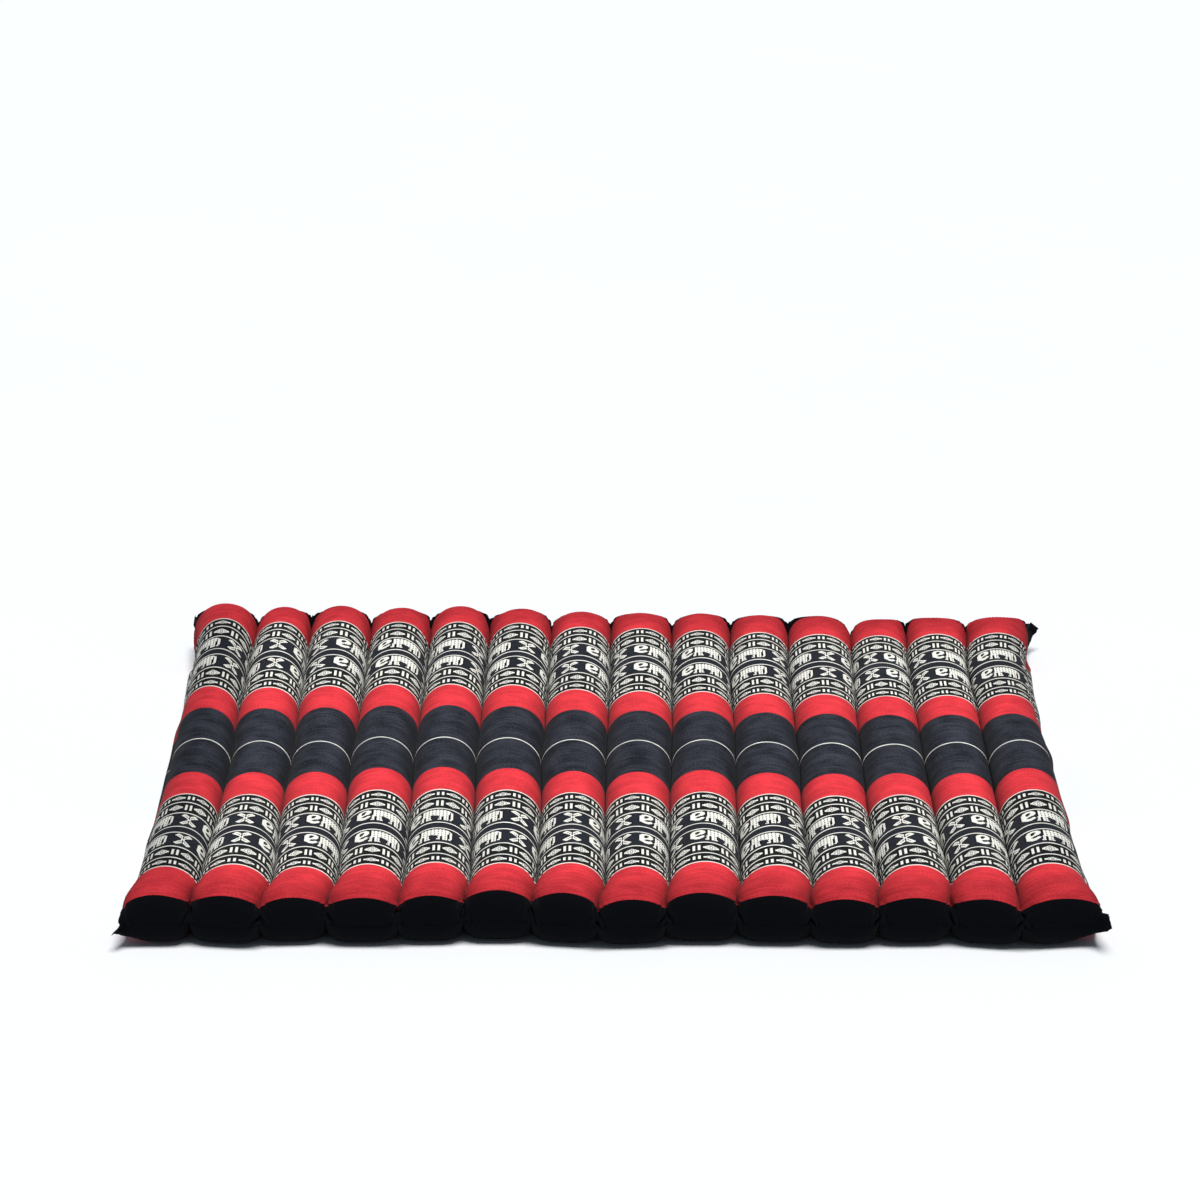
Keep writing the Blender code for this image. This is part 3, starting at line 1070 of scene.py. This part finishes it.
def floor_material():
    """Pale matt studio paper with faint clouds."""
    shader = Shader("studio_floor")
    place = shader.node("ShaderNodeTexCoord", {}, {}).output("Object")
    deeper = tuple(FLOOR_DEEPER * part for part in FLOOR_COLOUR[:3]) + (1.0,)
    tint = shader.mix(shader.noise(place, FLOOR_CLOUD), deeper, FLOOR_COLOUR)
    finish = {"Base Color": tint, "Roughness": FLOOR_ROUGHNESS, "Specular IOR Level": FLOOR_SPECULAR}
    return shader.finished(finish)


# ------------------------ the add-on

def dye(name, description, default):
    return bpy.props.FloatVectorProperty(
        name=name, description=description, subtype="COLOR", size=4, min=0.0, max=1.0,
        default=(*default, 1.0),
    )


class ZabutonColours(bpy.types.PropertyGroup):
    """Colours of the cloth."""

    red: dye("Red", "Plain red stripes", (0.57, 0.034, 0.043))
    red_deep: dye("Deep red", "Cloudier parts of the red", (0.37, 0.020, 0.027))
    middle_light: dye("Middle, light", "Middle stripe", (0.0290, 0.0312, 0.0415))
    middle_dark: dye("Middle, dark", "Cloudier parts of the middle", (0.0060, 0.0070, 0.0100))
    middle_fleck: dye("Middle fleck", "Pale flecks in the middle", (0.05, 0.052, 0.06))
    # The end stripes' own black, made deeper with painted shade for the ends, which face away from the
    # light above.
    end_black_and_painted_shade: dye("End black", "Stripes at both ends", (0.0017, 0.0021, 0.0035))
    cream: dye("Cream", "Pale yarn", (0.58, 0.575, 0.525))
    # Painted shade and warm painted reflection of the pale yarn in the grooves.
    cream_painted_shade: dye("Shaded cream", "Pale yarn in the grooves", (0.56, 0.54, 0.29))
    thread_line: dye("Thread line", "Fine lines in the pale yarn", (0.04, 0.039, 0.036))
    border_ground: dye("Border ground", "Ground of the borders", (0.0030, 0.0030, 0.0032))
    elephant_ground: dye("Elephant ground", "Ground of the figures", (0.0090, 0.0102, 0.0150))
    ground_fleck: dye("Ground fleck", "Flecks in the ground", (0.022, 0.022, 0.026))
    edging: dye("Edging", "Beside the pale lines", (0.0020, 0.0020, 0.0018))


def measure(name, description, default):
    return bpy.props.FloatProperty(
        name=name, description=description, default=default, min=0.0, unit="LENGTH", precision=4,
    )


class ZabutonSizes(bpy.types.PropertyGroup):
    """Sizes of the cushion's cloth, measured along it."""

    lift: measure("Extra filling", "How much higher than usual the crowns rise", 0.0)
    middle_stripe: measure("Middle stripe", "Width of the middle stripe", 2 * MIDDLE_BLACK)
    middle_line: measure("Middle line", "Width of the pale line in its middle", 0.0017)
    end_stripe: measure("End stripe", "From the cushion's middle to an end stripe", END_BLACK)


class ZABUTON_OT_channels(bpy.types.Operator):
    """Build the fourteen filled channels in their striped cloth"""

    bl_idname = "zabuton.channels"
    bl_label = "Filled channels"

    def execute(self, context):
        sizes = context.scene.zabuton_sizes
        material = cloth_material(context.scene.zabuton_colours, sizes)
        for index in range(len(CHANNELS)):
            make_channel(index, material, sizes.lift)
        return {"FINISHED"}


CAMERA_PLACE = (0.0, -3.742, 1.434)
CAMERA_TILT = (math.pi / 2 - math.radians(18.7), 0.0, math.radians(0.156))
CAMERA_LENS = 143.6
FLOOR_HALF = 7.0
WORLD_COLOUR = (0.74, 0.88, 1.06, 1.0)
WORLD_STRENGTH = 0.18
SUN_STRENGTH = 3.1
SUN_WIDTH = math.radians(30.0)
SUN_TILT = (math.radians(13.0), math.radians(5.0), 0.0)  # from the front and the right
BOX_HEIGHT = 1.0
BOX_PLACE = -0.008  # a little in front of the middle
BOX_TILT = math.radians(12.0)  # from the right
BOX_SIZE = (0.675, 0.600)
BOX_SPREAD = math.radians(5.2)
BOX_POWER = 1.1


def add_camera():
    data = bpy.data.cameras.new("camera")
    data.lens = CAMERA_LENS
    camera = add_object("camera", data)
    camera.location = CAMERA_PLACE
    camera.rotation_euler = CAMERA_TILT
    bpy.context.scene.camera = camera


def add_floor():
    mesh = bpy.data.meshes.new("floor")
    corners = [(x * FLOOR_HALF, y * FLOOR_HALF, 0) for x, y in ((-1, -1), (1, -1), (1, 1), (-1, 1))]
    mesh.from_pydata(corners, [], [(0, 1, 2, 3)])
    mesh.materials.append(floor_material())
    floor = add_object("floor", mesh)


def add_overhead():
    """A very broad light from above, which falls evenly on the whole floor."""
    data = bpy.data.lights.new("overhead", "SUN")
    data.energy = SUN_STRENGTH
    data.angle = SUN_WIDTH
    add_object("overhead", data).rotation_euler = SUN_TILT


def add_soft_box():
    """A soft box over the cushion, whose light fades towards the cushion's edges."""
    data = bpy.data.lights.new("soft_box", "AREA")
    data.shape = "RECTANGLE"
    data.size, data.size_y = BOX_SIZE
    data.spread = BOX_SPREAD
    data.energy = BOX_POWER
    light = add_object("soft_box", data)
    light.location = (BOX_HEIGHT * math.tan(BOX_TILT), BOX_PLACE, BOX_HEIGHT)
    light.rotation_euler = (0.0, BOX_TILT, 0.0)


def add_world():
    world = bpy.data.worlds.new("studio")
    world.use_nodes = True
    light = world.node_tree.nodes["Background"].inputs
    light["Color"].default_value = WORLD_COLOUR
    light["Strength"].default_value = WORLD_STRENGTH
    bpy.context.scene.world = world


class ZABUTON_OT_stage(bpy.types.Operator):
    """Add the pale floor, the soft light and the camera"""

    bl_idname = "zabuton.stage"
    bl_label = "Studio stage"

    def execute(self, context):
        add_floor()
        add_camera()
        add_world()
        add_overhead()
        add_soft_box()
        context.scene.view_settings.view_transform = "Standard"
        return {"FINISHED"}


class ZABUTON_PT_panel(bpy.types.Panel):
    """Sidebar panel that lists the steps"""

    bl_label = "Zabuton"
    bl_idname = "ZABUTON_PT_panel"
    bl_space_type = "VIEW_3D"
    bl_region_type = "UI"
    bl_category = "Zabuton"

    def draw(self, context):
        for operator in OPERATORS:
            self.layout.operator(operator.bl_idname)
        for group in (context.scene.zabuton_sizes, context.scene.zabuton_colours):
            for name in group.__annotations__:
                self.layout.prop(group, name)


OPERATORS = (ZABUTON_OT_channels, ZABUTON_OT_stage)
CLASSES = (ZabutonSizes, ZabutonColours, *OPERATORS, ZABUTON_PT_panel)


def register():
    for entry in CLASSES:
        bpy.utils.register_class(entry)
    bpy.types.Scene.zabuton_sizes = bpy.props.PointerProperty(type=ZabutonSizes)
    bpy.types.Scene.zabuton_colours = bpy.props.PointerProperty(type=ZabutonColours)


def unregister():
    del bpy.types.Scene.zabuton_colours
    del bpy.types.Scene.zabuton_sizes
    for entry in reversed(CLASSES):
        bpy.utils.unregister_class(entry)


def main():
    register()
    bpy.ops.zabuton.channels()
    bpy.ops.zabuton.stage()


if __name__ == "__main__":
    main()
